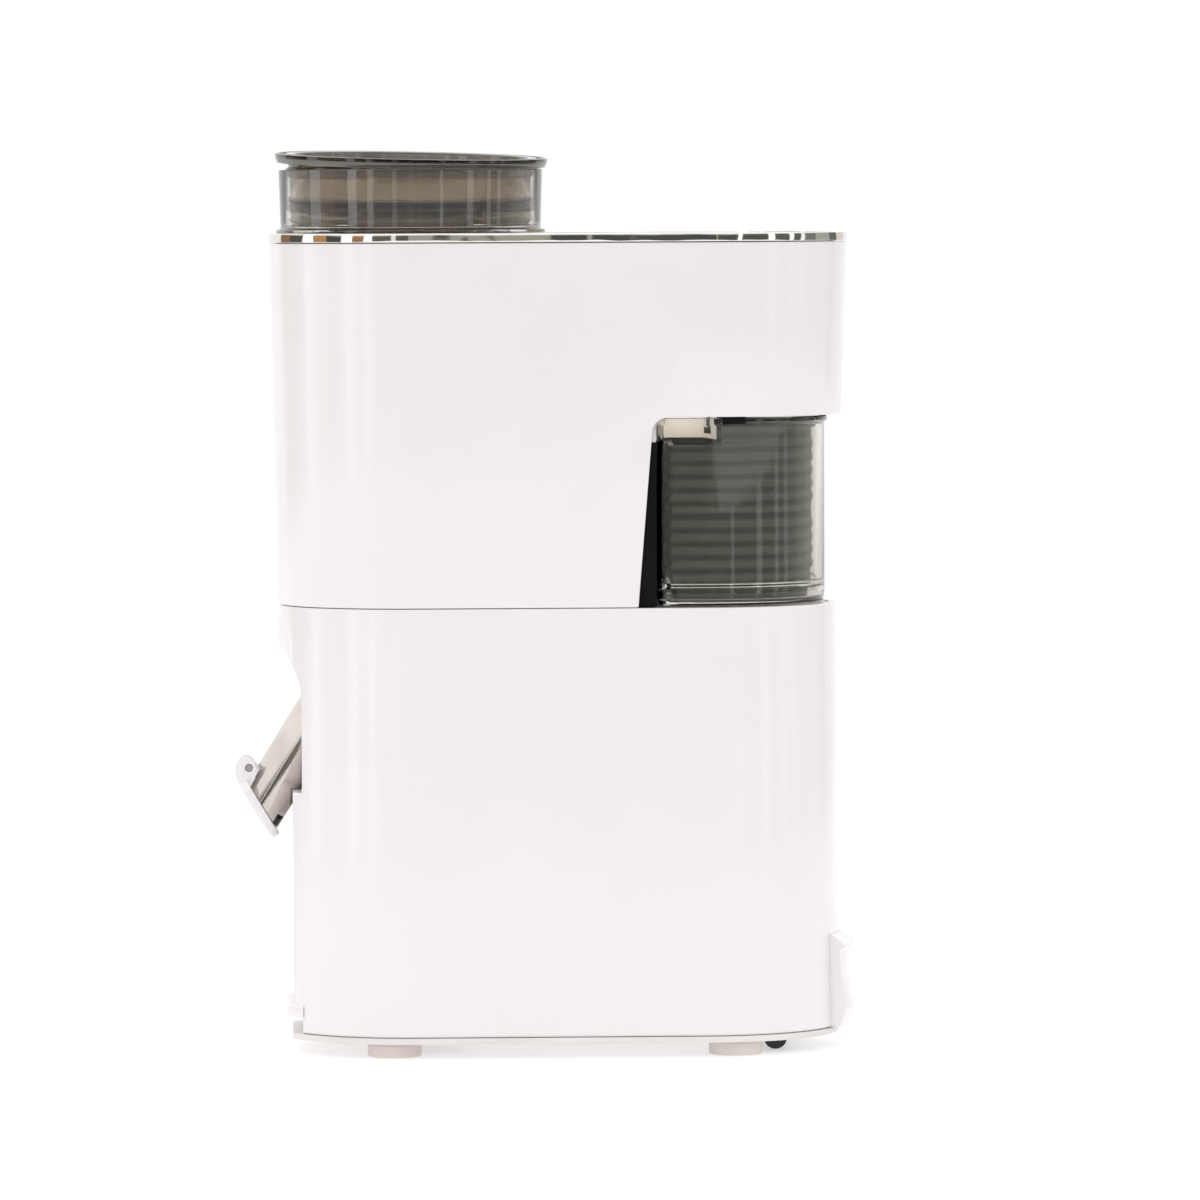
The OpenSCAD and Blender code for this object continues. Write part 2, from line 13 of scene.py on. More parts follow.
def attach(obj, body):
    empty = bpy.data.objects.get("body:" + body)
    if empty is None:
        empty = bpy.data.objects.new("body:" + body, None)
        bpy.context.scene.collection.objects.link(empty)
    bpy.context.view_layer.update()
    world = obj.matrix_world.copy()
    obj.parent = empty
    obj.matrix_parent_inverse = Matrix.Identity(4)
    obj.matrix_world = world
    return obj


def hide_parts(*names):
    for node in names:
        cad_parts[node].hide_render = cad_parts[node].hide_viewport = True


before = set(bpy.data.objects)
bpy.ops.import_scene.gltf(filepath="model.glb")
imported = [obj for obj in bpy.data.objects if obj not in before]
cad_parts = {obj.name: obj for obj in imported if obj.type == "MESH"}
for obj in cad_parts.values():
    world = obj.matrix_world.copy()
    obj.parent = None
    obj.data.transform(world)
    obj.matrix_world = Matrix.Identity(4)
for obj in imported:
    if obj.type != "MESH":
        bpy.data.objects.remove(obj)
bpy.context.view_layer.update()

# %% [markdown]
# ## Camera
# A product is looked at from far away through a long lens, so that its sides stay parallel.
# The eye is level with the lid, two degrees round towards the spout end.

# %% Camera
CAMERA_DISTANCE = 3.9
CAMERA_AZIMUTH = math.radians(-2.0)
CAMERA_HEIGHT = 0.38
CAMERA_LENS = 260
CAMERA_ROLL = math.radians(-0.25)
look_at = Vector((0.0243, 0.0, 0.201))
rise = CAMERA_HEIGHT - look_at.z
reach = math.sqrt(CAMERA_DISTANCE ** 2 - rise ** 2)
eye = look_at + Vector((reach * math.sin(CAMERA_AZIMUTH), -reach * math.cos(CAMERA_AZIMUTH), rise))
bpy.ops.object.select_all(action="DESELECT")
bpy.ops.object.camera_add(location=eye)
camera = bpy.context.object
camera.name = "studio_camera"
camera.data.lens = CAMERA_LENS
camera.data.sensor_width = 36
camera.data.clip_start = 0.05
camera.data.clip_end = 60
aim = (look_at - eye).to_track_quat("-Z", "Y").to_matrix()
camera.rotation_euler = (aim @ Matrix.Rotation(CAMERA_ROLL, 3, "Z")).to_euler()
bpy.context.scene.camera = camera
print("camera at", [round(v, 3) for v in eye])

# %% [markdown]
# ## Mains lead
# The lead is one length of round flexible cable. It leaves a gland under the base, runs straight back
# and is put away in a flat coil behind the juicer, three turns below and one and a half on top.
# A curve with a round bevel is the natural way to make it: its line is the middle of the cable.

# %% Route of the lead
MM = 0.001
LEAD_THICK = 6.0
COIL_CENTRE = (55.0, 118.0)
LEAD_START = [(101, 5, 6), (101, 10, 5.9), (101, 15, 5.6), (101, 20, 5.2), (101, 25, 4.6), (101, 30, 4.0),
              (101, 35, 3.5), (101, 40, 3.2), (101, 45, 3.05), (101, 55, 3.05), (101, 65, 3.05),
              (100.5, 75, 3.05), (99.4, 85, 3.1), (97.6, 96, 3.3), (95.6, 107, 3.6)]
TURN_RADII = [(39.5, 3.8), (33.5, 3.8), (27.5, 3.8), (30.5, 9.0), (36.5, 9.0)]
STEP_START = 240
TAIL_X, TAIL_Y, TAIL_R = 18.4, 98.0, 27.0


def eased(share):
    return share * share * (3 - 2 * share)


coil_points = []
for degree in range(0, 4 * 360 + 181, 6):
    turn, within = divmod(degree, 360)
    radius, height = TURN_RADII[turn]
    if within > STEP_START and turn < 4:
        share = eased((within - STEP_START) / (360 - STEP_START))
        next_radius, next_height = TURN_RADII[turn + 1]
        radius += share * (next_radius - radius)
        height += share * (next_height - height)
    angle = math.radians(degree)
    coil_points.append((COIL_CENTRE[0] + radius * math.cos(angle),
                        COIL_CENTRE[1] + radius * math.sin(angle), height))
tail_points = [(TAIL_X, 111, 9), (TAIL_X, 104.5, 9)]
TAIL_STEPS = 24
for k in range(TAIL_STEPS + 1):
    swing = math.pi * k / TAIL_STEPS
    share = 2 * k / TAIL_STEPS
    height = 9 - 5.95 * eased(share) if share <= 1 else 3.05 + 3.95 * eased(share - 1)
    tail_points.append((TAIL_X - TAIL_R + TAIL_R * math.cos(swing),
                        TAIL_Y - TAIL_R * math.sin(swing), height))
tail_points.append((TAIL_X - 2 * TAIL_R, 100, 7))
lead_route = LEAD_START + coil_points + tail_points
lead_length = sum(math.dist(a, b) for a, b in zip(lead_route, lead_route[1:]))
print("lead:", len(lead_route), "points,", round(lead_length), "mm")

# %% Lead as a curve
def pick(obj):
    bpy.ops.object.select_all(action="DESELECT")
    obj.select_set(True)
    bpy.context.view_layer.objects.active = obj


lead_data = bpy.data.curves.new("mains_lead", "CURVE")
lead_data.dimensions = "3D"
lead_data.bevel_depth = LEAD_THICK / 2 * MM
lead_data.bevel_resolution = 5
lead_line = lead_data.splines.new("POLY")
lead_line.points.add(len(lead_route) - 1)
for point, (x, y, z) in zip(lead_line.points, lead_route):
    point.co = (x * MM, y * MM, z * MM, 1)
lead_line.use_smooth = True
lead_data.use_fill_caps = True
lead = bpy.data.objects.new("mains_lead", lead_data)
bpy.context.scene.collection.objects.link(lead)
pick(lead)
bpy.ops.object.convert(target="MESH")
lead = bpy.context.object
lead.name = "mains_lead"
bpy.ops.object.shade_smooth_by_angle(angle=math.radians(50))
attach(lead, "base")
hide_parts("mains_cord", "mains_coil", "cord_tail")

# %% [markdown]
# ## Finishes
# A moulded plastic is never one flat colour. It has a faint cloudiness in its colour, a little change
# of gloss where the mould was polished by hand, and a very slight waviness. One maker builds all three
# from noise at three sizes, and each finish gives its own numbers.

# %% Maker of finishes
def linear(red, green, blue):
    def channel(value):
        value = value / 255
        return value / 12.92 if value <= 0.04045 else ((value + 0.055) / 1.055) ** 2.4
    return (channel(red), channel(green), channel(blue), 1)


def noise_at(nodes, links, where, scale, detail=4):
    noise = nodes.new("ShaderNodeTexNoise")
    noise.inputs["Scale"].default_value = scale
    noise.inputs["Detail"].default_value = detail
    links.new(where.outputs["Object"], noise.inputs["Vector"])
    return noise.outputs["Fac"]


def let_light_in(nodes, links, shader):
    ray = nodes.new("ShaderNodeLightPath")
    passing = nodes.new("ShaderNodeBsdfTransparent")
    passing.inputs["Color"].default_value = (0.86, 0.85, 0.82, 1)
    either = nodes.new("ShaderNodeMath")
    either.operation = "MAXIMUM"
    links.new(ray.outputs["Is Shadow Ray"], either.inputs[0])
    links.new(ray.outputs["Is Diffuse Ray"], either.inputs[1])
    choose = nodes.new("ShaderNodeMixShader")
    links.new(either.outputs["Value"], choose.inputs["Fac"])
    links.new(shader.outputs["BSDF"], choose.inputs[1])
    links.new(passing.outputs["BSDF"], choose.inputs[2])
    links.new(choose.outputs["Shader"], nodes["Material Output"].inputs["Surface"])


PLASTIC_BEND = 1.49  # how strongly clear plastic bends light
BUMP_HEIGHT = 0.0004


def finish(name, colour, shade, gloss, cloud=30, grain=900, bump=0.02, metal=0.0, coat=0.0,
           clear=0.0):
    made = bpy.data.materials.new(name)
    made.use_nodes = True
    nodes, links = made.node_tree.nodes, made.node_tree.links
    shader = nodes["Principled BSDF"]
    where = nodes.new("ShaderNodeTexCoord")
    tint = nodes.new("ShaderNodeValToRGB")
    tint.color_ramp.elements[0].position = 0.3
    tint.color_ramp.elements[1].position = 0.7
    tint.color_ramp.elements[0].color = linear(*shade)
    tint.color_ramp.elements[1].color = linear(*colour)
    links.new(noise_at(nodes, links, where, cloud), tint.inputs["Fac"])
    links.new(tint.outputs["Color"], shader.inputs["Base Color"])
    spread = nodes.new("ShaderNodeMapRange")
    spread.inputs["To Min"].default_value = gloss[0]
    spread.inputs["To Max"].default_value = gloss[1]
    links.new(noise_at(nodes, links, where, cloud * 2.3), spread.inputs["Value"])
    links.new(spread.outputs["Result"], shader.inputs["Roughness"])
    raised = nodes.new("ShaderNodeBump")
    raised.inputs["Strength"].default_value = bump
    raised.inputs["Distance"].default_value = BUMP_HEIGHT
    links.new(noise_at(nodes, links, where, grain, 2), raised.inputs["Height"])
    links.new(raised.outputs["Normal"], shader.inputs["Normal"])
    shader.inputs["Metallic"].default_value = metal
    shader.inputs["Coat Weight"].default_value = coat
    shader.inputs["Coat Roughness"].default_value = 0.04
    shader.inputs["Transmission Weight"].default_value = clear
    shader.inputs["IOR"].default_value = PLASTIC_BEND
    if clear:
        let_light_in(nodes, links, shader)
    return made


# %% The finishes of this juicer
white_gloss = finish("white_gloss", (241, 237, 239), (239, 235, 236), (0.16, 0.25), 22, 140, 0.015,
                     coat=0.12)
white_satin = finish("white_satin", (236, 232, 230), (228, 223, 220), (0.28, 0.40), 30, 1500, 0.05)
foot_plastic = finish("foot_plastic", (233, 224, 220), (225, 215, 210), (0.45, 0.6), 60, 2200, 0.12)
mirror_chrome = finish("mirror_chrome", (238, 236, 232), (228, 226, 222), (0.03, 0.07), 40, 300, 0.02,
                       metal=1.0)
spout_steel = finish("spout_steel", (214, 207, 201), (198, 191, 184), (0.08, 0.14), 60, 500, 0.05, metal=1.0)
pin_steel = finish("pin_steel", (190, 188, 184), (164, 162, 158), (0.22, 0.34), 120, 1600, 0.1, metal=1.0)
clear_wall = finish("clear_wall", (250, 249, 246), (246, 245, 241), (0.01, 0.04), 25, 120, 0.02, clear=1.0)
clear_jar = finish("clear_jar", (228, 226, 219), (221, 219, 212), (0.01, 0.05), 25, 90, 0.03, clear=1.0)
smoke_tint = finish("smoke_tint", (194, 180, 161), (183, 168, 148), (0.02, 0.06), 40, 160, 0.03, clear=1.0)
smoke_dark = finish("smoke_dark", (13, 12, 12), (8, 8, 8), (0.12, 0.2), 60, 200, 0.03)
smoke_skirt = finish("smoke_skirt", (132, 122, 108), (118, 108, 94), (0.02, 0.06), 40, 160, 0.03, clear=1.0)
smoke_rim = finish("smoke_rim", (112, 109, 101), (92, 90, 82), (0.03, 0.07), 60, 200, 0.03, clear=1.0)
bin_dark = finish("bin_dark", (32, 35, 30), (19, 22, 18), (0.36, 0.5), 45, 700, 0.06)
# Near-black: on the niche liner it is painted shade for the deep niche, and the carbon brushes share it.
liner_dark = finish("liner_dark", (17, 16, 17), (11, 10, 11), (0.5, 0.65), 50, 1400, 0.08)
black_rubber = finish("black_rubber", (44, 43, 42), (31, 30, 30), (0.5, 0.68), 80, 1800, 0.15)
black_plastic = finish("black_plastic", (50, 50, 51), (38, 38, 39), (0.3, 0.45), 70, 2200, 0.1)
grey_plastic = finish("grey_plastic", (146, 146, 144), (124, 124, 122), (0.35, 0.5), 60, 1800, 0.1)
mesh_steel = finish("mesh_steel", (186, 186, 184), (150, 150, 148), (0.2, 0.35), 90, 1200, 0.2, metal=1.0)
lamination = finish("lamination", (112, 110, 108), (84, 82, 80), (0.35, 0.55), 110, 2500, 0.25, metal=1.0)
copper_wire = finish("copper_wire", (190, 112, 66), (146, 78, 42), (0.25, 0.4), 160, 2600, 0.3, metal=1.0)
turned_brass = finish("turned_brass", (198, 164, 92), (170, 136, 70), (0.2, 0.32), 90, 1500, 0.1, metal=1.0)
board_green = finish("board_green", (44, 92, 58), (30, 68, 42), (0.3, 0.45), 90, 1500, 0.1)

# The liner is coloured near-black, which paints in the deep shade of the niche, and has almost no shine.
liner_dark.node_tree.nodes["Principled BSDF"].inputs["Specular IOR Level"].default_value = 0.12

# The bin is moulded with shallow ribs, one every six millimetres. Lighter stripes are painted into its
# colour along them: a painted highlight where the ribs catch the light in turn.
bin_nodes, bin_links = bin_dark.node_tree.nodes, bin_dark.node_tree.links
bin_shader = bin_nodes["Principled BSDF"]
bin_place = next(node for node in bin_nodes if node.type == "TEX_COORD")
bands = bin_nodes.new("ShaderNodeTexWave")
bands.bands_direction = "Z"
bands.inputs["Scale"].default_value = 52.4
bands.inputs["Distortion"].default_value = 0.4
bands.inputs["Detail Scale"].default_value = 8
bin_links.new(bin_place.outputs["Object"], bands.inputs["Vector"])
rib_highlight_share = bin_nodes.new("ShaderNodeMapRange")
rib_highlight_share.inputs["To Min"].default_value = 0.0
rib_highlight_share.inputs["To Max"].default_value = 0.55
bin_links.new(bands.outputs["Fac"], rib_highlight_share.inputs["Value"])
# The lighter colour mixed in here is the painted highlight on the ribs.
rib_highlight_mix = bin_nodes.new("ShaderNodeMix")
rib_highlight_mix.data_type = "RGBA"
rib_highlight_mix.inputs["B"].default_value = linear(112, 117, 102)
bin_links.new(rib_highlight_share.outputs["Result"], rib_highlight_mix.inputs["Factor"])
bin_links.new(bin_shader.inputs["Base Color"].links[0].from_socket, rib_highlight_mix.inputs["A"])
bin_links.new(rib_highlight_mix.outputs["Result"], bin_shader.inputs["Base Color"])

# A plated ring on moulded plastic is never quite flat. Its long gentle waves break up what it mirrors.
chrome_nodes = mirror_chrome.node_tree.nodes
chrome_bump = next(node for node in chrome_nodes if node.type == "BUMP")
chrome_bump.inputs["Strength"].default_value = 0.9
chrome_bump.inputs["Distance"].default_value = 0.0012
wave_noise = chrome_bump.inputs["Height"].links[0].from_node
wave_noise.inputs["Scale"].default_value = 34
wave_noise.inputs["Detail"].default_value = 1.5
print("finishes:", len(bpy.data.materials))

# %% [markdown]
# ## Inner pieces keep their CAD shape
# The motor, the bowl, the basket and the switch are already right in shape. Only their finish changes.

# %% Finishes for the CAD pieces that stay
KEPT_FINISH = {
    white_satin: ["deck", "juice_bowl", "pulp_hood", "cooling_fan"],
    black_plastic: ["switch_body", "lower_bracket", "upper_bracket", "suppression_capacitor",
                    "drive_coupling", "reed_switch"],
    black_rubber: ["motor_mounts", "shaft_seal", "cover_gasket"],
    pin_steel: ["rocker_pin", "base_screws", "bracket_posts", "lower_bearing", "upper_bearing",
                "motor_shaft", "flap_pin", "lid_magnet"],
    lamination: ["motor_stator", "armature"],
    copper_wire: ["field_coils", "commutator"],
    turned_brass: ["plug_prongs"],
    liner_dark: ["carbon_brushes"],
    board_green: ["control_board"],
    mesh_steel: ["filter_basket", "grater_disc"],
    spout_steel: ["basket_rim", "juice_elbow"],
}


def dress(node_name, looks):
    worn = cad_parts[node_name].data.materials
    worn.clear()
    worn.append(looks)


for kept_finish, node_names in KEPT_FINISH.items():
    for node_name in node_names:
        dress(node_name, kept_finish)
print("CAD pieces kept:", sum(len(names) for names in KEPT_FINISH.values()))

# %% [markdown]
# ## Turning a section
# Nearly every piece here is round, or round at both ends with straight sides. So one way of working
# serves for most: draw half of its section, round the corners, and spin it about its axis.

# %% Rounded corners of a section
TURN_STEPS = 128
DRIVE_X = -60.0
REAR_X = 70.0


def rounded_section(corners, closed):
    points = []
    count = len(corners)
    for i, corner in enumerate(corners):
        here = Vector(corner[:2])
        fillet = corner[2] if len(corner) > 2 else 0
        at_end = not closed and i in (0, count - 1)
        if at_end or fillet <= 0:
            points.append(here)
            continue
        before = Vector(corners[i - 1][:2]) - here
        after = Vector(corners[(i + 1) % count][:2]) - here
        half_turn = before.angle(after) / 2
        trim = min(fillet / math.tan(half_turn), before.length * 0.48, after.length * 0.48)
        first = here + before.normalized() * trim
        last = here + after.normalized() * trim
        arc_steps = 3 if fillet < 1 else 6
        for k in range(arc_steps + 1):
            t = k / arc_steps
            points.append(first * (1 - t) ** 2 + here * 2 * t * (1 - t) + last * t ** 2)
    return points


# %% Spinning it
WELD = 0.000004


def start_edit(obj):
    pick(obj)
    bpy.ops.object.mode_set(mode="EDIT")
    bpy.ops.mesh.select_all(action="SELECT")


def turned(name, corners, centre_x=DRIVE_X, closed=True, steps=TURN_STEPS, sweep=360.0, start=None):
    section = rounded_section(corners, closed)
    begin = math.pi / steps if start is None else math.radians(start)
    points = [((centre_x + p.x * math.cos(begin)) * MM, p.x * math.sin(begin) * MM, p.y * MM)
              for p in section]
    edges = [(i, i + 1) for i in range(len(points) - 1)]
    if closed:
        edges.append((len(points) - 1, 0))
    mesh = bpy.data.meshes.new(name)
    mesh.from_pydata(points, edges, [])
    obj = bpy.data.objects.new(name, mesh)
    bpy.context.scene.collection.objects.link(obj)
    start_edit(obj)
    bpy.ops.mesh.spin(steps=steps, angle=math.radians(sweep), center=(centre_x * MM, 0, 0), axis=(0, 0, 1))
    bpy.ops.mesh.select_all(action="SELECT")
    bpy.ops.mesh.remove_doubles(threshold=WELD)
    if sweep < 360:
        bpy.ops.mesh.select_all(action="DESELECT")
        bpy.ops.mesh.select_non_manifold()
        bpy.ops.mesh.edge_face_add()
        bpy.ops.mesh.select_all(action="SELECT")
    bpy.ops.mesh.normals_make_consistent(inside=False)
    bpy.ops.object.mode_set(mode="OBJECT")
    return obj


def pulled_out(obj, rear_at=lambda z: REAR_X):
    for vertex in obj.data.vertices:
        if vertex.co.x > DRIVE_X * MM:
            vertex.co.x += (rear_at(vertex.co.z / MM) - DRIVE_X) * MM
    return obj


def long_form(name, corners, rear_at=lambda z: REAR_X):
    return pulled_out(turned(name, corners, closed=False), rear_at)


# %% Cutting and finishing
def prism(name, outline, half_width):
    mesh = bpy.data.meshes.new(name)
    mesh.from_pydata([(x * MM, -half_width * MM, z * MM) for x, z in outline], [],
                     [tuple(range(len(outline)))])
    obj = bpy.data.objects.new(name, mesh)
    bpy.context.scene.collection.objects.link(obj)
    start_edit(obj)
    bpy.ops.mesh.extrude_region_move(TRANSFORM_OT_translate={"value": (0, 2 * half_width * MM, 0)})
    bpy.ops.mesh.select_all(action="SELECT")
    bpy.ops.mesh.normals_make_consistent(inside=False)
    bpy.ops.object.mode_set(mode="OBJECT")
    return obj


def cross_rod(name, corners, x, z, steps=48):
    rod = turned(name, corners, 0, False, steps)
    rod.data.transform(Matrix.Translation((x * MM, 0, z * MM)) @ Matrix.Rotation(math.pi / 2, 4, "X"))
    return rod


def slab(name, low, high):
    obj = prism(name, [(low[0], low[2]), (high[0], low[2]), (high[0], high[2]), (low[0], high[2])],
                (high[1] - low[1]) / 2)
    for vertex in obj.data.vertices:
        vertex.co.y += (high[1] + low[1]) / 2 * MM
    return obj


def combine(obj, tool, how="DIFFERENCE"):
    pick(obj)
    step = obj.modifiers.new("cut", "BOOLEAN")
    step.operation = how
    step.solver = "EXACT"
    step.object = tool
    bpy.ops.object.modifier_apply(modifier=step.name)
    bpy.data.objects.remove(tool)
    return obj


def soften(obj, width, segments=2, angle=35):
    pick(obj)
    step = obj.modifiers.new("soft_edges", "BEVEL")
    step.width = width * MM
    step.segments = segments
    step.limit_method = "ANGLE"
    step.angle_limit = math.radians(angle)
    bpy.ops.object.modifier_apply(modifier=step.name)
    return obj


def done(obj, body, looks, slot_name, *nodes, angle=32):
    obj.data.materials.clear()
    obj.data.materials.append(looks)
    pick(obj)
    bpy.ops.object.shade_smooth_by_angle(angle=math.radians(angle))
    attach(obj, body)
    if nodes:
        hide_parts(*nodes)
    low = [min(v.co[k] for v in obj.data.vertices) / MM for k in range(3)]
    high = [max(v.co[k] for v in obj.data.vertices) / MM for k in range(3)]
    print(obj.name, len(obj.data.polygons), "faces,",
          [round(v, 1) for v in low], [round(v, 1) for v in high])
    return obj


# %% [markdown]
# ## Lower housing
# One white shell, two half rounds joined by straight sides, a little wider at its foot. At the front it is
# hollowed so that a glass can stand under the spout. Outer form and inner space are both spun, pulled
# out to the long plan, cut by the same hollow, and taken one from the other.

# %% Lower housing
WALL = 2.8
RECESS_X = -110.3
HOLLOW_X, HOLLOW_Z, HOLLOW_R = -144.5, 158.0, 34.2
SPOUT_END = (-127.85, 109.9)
SPOUT_SLOPE = math.radians(58)


HOLLOW_STEPS = 24


def glass_hollow(grow):
    outline = [(-220, -20), (RECESS_X + grow, -20)]
    for k in range(HOLLOW_STEPS + 1):
        angle = math.radians(90 * k / HOLLOW_STEPS)
        outline.append((HOLLOW_X + (HOLLOW_R + grow) * math.cos(angle),
                        HOLLOW_Z + (HOLLOW_R + grow) * math.sin(angle)))
    outline.append((-220, HOLLOW_Z + HOLLOW_R + grow))
    return prism("glass_hollow", outline, 90)


def at_spout(lean):
    return Matrix.Translation((SPOUT_END[0] * MM, 0, SPOUT_END[1] * MM)) @ Matrix.Rotation(lean, 4, "Y")


def slanted_rod(name, radius, reach_from, reach_to):
    rod = turned(name, [(0, reach_from), (radius, reach_from), (radius, reach_to), (0, reach_to)], 0, False)
    rod.data.transform(at_spout(math.pi / 2 - SPOUT_SLOPE))
    return rod


shell = long_form("housing_low", [(0, 9.5), (61.7, 9.5, 2.4), (60, 200, 0.8), (0, 200)])
combine(shell, glass_hollow(0))
soften(shell, 0.9, 3, 40)
space = long_form("space", [(0, 5), (61.7 - WALL, 5), (60 - WALL, 204), (0, 204)])
combine(space, glass_hollow(WALL))
combine(shell, space)
combine(shell, slanted_rod("spout_hole", 11.6, 8, 52))
combine(shell, slab("switch_hole", (-125, -8.2, 83.8), (-100, 8.2, 100.2)))
done(shell, "base", white_gloss, "white_gloss", "lower_housing")

# %% [markdown]
# ## Front panel, bottom cover, feet and cord wrap
# The panel is a proud strip that follows the body's curve, with a small lip at its foot. The cover closes
# the base from below and carries the four feet. The wrap is a hooked rail low on the back.

# %% Front panel
panel = long_form("front_strip", [(0, 16.7), (61.7, 16.7, 0.6), (60.8, 117, 1.2), (0, 117)])
combine(panel, slab("panel_keep", (-114.4, -40, 0), (RECESS_X - 0.1, 40, 150)), "INTERSECT")
lip = long_form("panel_lip", [(0, 16.7), (62.6, 16.7, 0.8), (62.4, 22.5, 2.2), (0, 22.5)])
combine(lip, slab("lip_keep", (-117.1, -40, 0), (RECESS_X - 0.1, 40, 150)), "INTERSECT")
combine(panel, lip, "UNION")
combine(panel, slanted_rod("spout_room", 12.0, -10, 50))
combine(panel, slab("rocker_hole", (-130, -8.1, 82.6), (-105, 8.1, 101.4)))
soften(panel, 0.5, 2, 40)
done(panel, "base", white_gloss, "white_gloss", "front_panel")

# %% Bottom cover
cover = long_form("base_cover", [(0, 6.5), (61.5, 6.5, 2.0), (61.5, 9.4, 0.3), (0, 9.4)])
combine(cover, slab("cover_front", (-200, -90, 0), (-115, 90, 30)))
VENT_PITCH, VENT_HALF = 7, 1.5
for k in range(-4, 5):
    vent_y = k * VENT_PITCH
    combine(cover, slab("vent", (-80, vent_y - VENT_HALF, 0), (-40, vent_y + VENT_HALF, 20)))
combine(cover, slab("lead_mouth", (95, -32, 0), (107, 48, 20)))
channel = slab("lead_channel", (93.2, -36, 9.0), (108.8, 44, 15.0))
combine(channel, slab("lead_room", (95, -32, 4), (107, 60, 13.2)))
combine(cover, channel, "UNION")
soften(cover, 0.35, 2, 50)
done(cover, "base", white_satin, "white_gloss", "bottom_cover")

# %% Feet
FOOT_SECTION = [(0, 0.4), (9.4, 0.4, 0.5), (10.2, 0, 0.3), (12, 0, 1.1), (12, 5.2, 0.8),
                (11.2, 6.45, 0.3), (0, 6.45)]
FOOT_PLACES = [(x, y) for x in (-69.6, 82.6) for y in (-42, 42)]
feet = []
for foot_x, foot_y in FOOT_PLACES:
    foot = turned("foot", FOOT_SECTION, 0, False, 64)
    foot.data.transform(Matrix.Translation((foot_x * MM, foot_y * MM, 0)))
    feet.append(foot)
bpy.ops.object.select_all(action="DESELECT")
for foot in feet:
    foot.select_set(True)
bpy.context.view_layer.objects.active = feet[0]
bpy.ops.object.join()
feet[0].name = "round_feet"
done(feet[0], "base", foot_plastic, "foot_plastic", "feet")

# %% Cord wrap
WRAP_SECTION = [(61.4, 10, 0.4), (66.4, 10, 0.8), (67.6, 14.4, 1.5), (69.3, 18, 1.4), (68.5, 22.5, 2),
                (67.2, 31.5, 3), (66.1, 44, 1.5), (69.3, 46.4, 1.2), (61.2, 52.2, 0.6)]
wrap = turned("cord_hook", WRAP_SECTION, REAR_X, True, 40, 50, 25)
soften(wrap, 0.5, 2, 50)
done(wrap, "base", white_gloss, "white_gloss", "cord_wrap")

# %% [markdown]
# ## Upper housing
# The same long plan, widening upwards. Its rear is cut away for the pulp container, with one rounded
# inner corner. The cut runs straight across, so both sides have it.

# %% Upper housing
HIGH_FOOT, HIGH_TOP = 200.3, 362
FOOT_HALF, TOP_HALF = 60, 63.3
REAR_SWELL = 2.4
CUT_X, CUT_Z, CUT_CORNER = 53.0, 277.1, 7.5
CUT_STEPS = 12


def rear_at(z):
    share = (z - HIGH_FOOT) / (HIGH_TOP - HIGH_FOOT)
    return REAR_X + REAR_SWELL * max(0.0, min(1.0, share))


def container_cut():
    outline = [(39.2, 180), (39.2, 199), (45.4, 275)]
    for k in range(1, CUT_STEPS):
        angle = math.radians(176 - 86 * k / CUT_STEPS)
        outline.append((CUT_X + CUT_CORNER * math.cos(angle), CUT_Z + CUT_CORNER * math.sin(angle)))
    cut_top = CUT_Z + CUT_CORNER
    outline += [(CUT_X, cut_top), (190, cut_top), (190, 180)]
    return prism("container_cut", outline, 90)


HIGH_SECTION = [(0, HIGH_FOOT), (FOOT_HALF, HIGH_FOOT, 0.7), (TOP_HALF, HIGH_TOP, 0.6), (0, HIGH_TOP)]
shell = long_form("housing_high", HIGH_SECTION, rear_at)
combine(shell, container_cut())
soften(shell, 0.5, 3, 40)
SPACE_SECTION = [(0, 195), (FOOT_HALF - WALL, 195), (TOP_HALF - WALL, 366), (0, 366)]
space = long_form("space", SPACE_SECTION, rear_at)
combine(shell, space)
done(shell, "base", white_gloss, "white_gloss", "upper_housing")

# %% [markdown]
# ## Liner of the container's niche
# The cut-out is closed by a moulded liner, coloured near-black as painted shade: a thick pad that the
# container's flat front meets, a ceiling with a hole for the pulp outlet, and a narrow lip along each side
# that hides the container's rim.
# A white guard sits in a pocket at the head of the pad on each side, beside the outlet.

# %% Niche liner
LIP_AT, LIP_HALF = 58.9, 1.1
GUARD_AT, GUARD_HALF, GUARD_ROOM = 41, 16.2, 0.8
liner = slab("niche_lining", (37.2, -57, 200.6), (47.6, 57, 284.7))
combine(liner, slab("outlet_room", (46.0, -23, 270), (60, 23, 290)))
ceiling = long_form("lining_top", [(0, 284.9), (57.6, 284.9, 0.3), (57.8, 287, 0.3), (0, 287)])
combine(ceiling, slab("front_off", (-200, -90, 280), (38, 90, 290)))
combine(ceiling, slab("outlet_hole", (46.5, -22, 280), (78, 22, 290)))
combine(liner, ceiling, "UNION")
for side in (-1, 1):
    lip_y = side * LIP_AT
    side_lip = slab("side_lip", (76.8, lip_y - LIP_HALF, 281.4), (119.6, lip_y + LIP_HALF, 285.0))
    combine(liner, side_lip, "UNION")
keep = long_form("lining_keep", [(0, 190), (60.2, 190), (60.4, 290), (0, 290)])
combine(liner, keep, "INTERSECT")
for side in (-1, 1):
    pocket_low = side * GUARD_AT - GUARD_HALF - GUARD_ROOM
    pocket_high = side * GUARD_AT + GUARD_HALF + GUARD_ROOM
    combine(liner, slab("guard_pocket", (30, pocket_low, 273.3), (48, pocket_high, 284.75)))
soften(liner, 0.4, 2, 40)
done(liner, "base", liner_dark, "dark_plastic", "niche_liner")
for side in (-1, 1):
    guard_y = side * GUARD_AT
    guard = slab("outlet_guard", (37.3, guard_y - GUARD_HALF, 273.4), (47.5, guard_y + GUARD_HALF, 284.65))
    soften(guard, 0.5, 3, 40)
    done(guard, "base", white_satin, "white_gloss")

# %% [markdown]
# ## Lid and its bright trim
# The trim is a plated ring round the edge of the lid. Its section is a small block with a well rounded
# outer edge, and that round is what draws the surroundings into thin lines. The plate sits inside it.

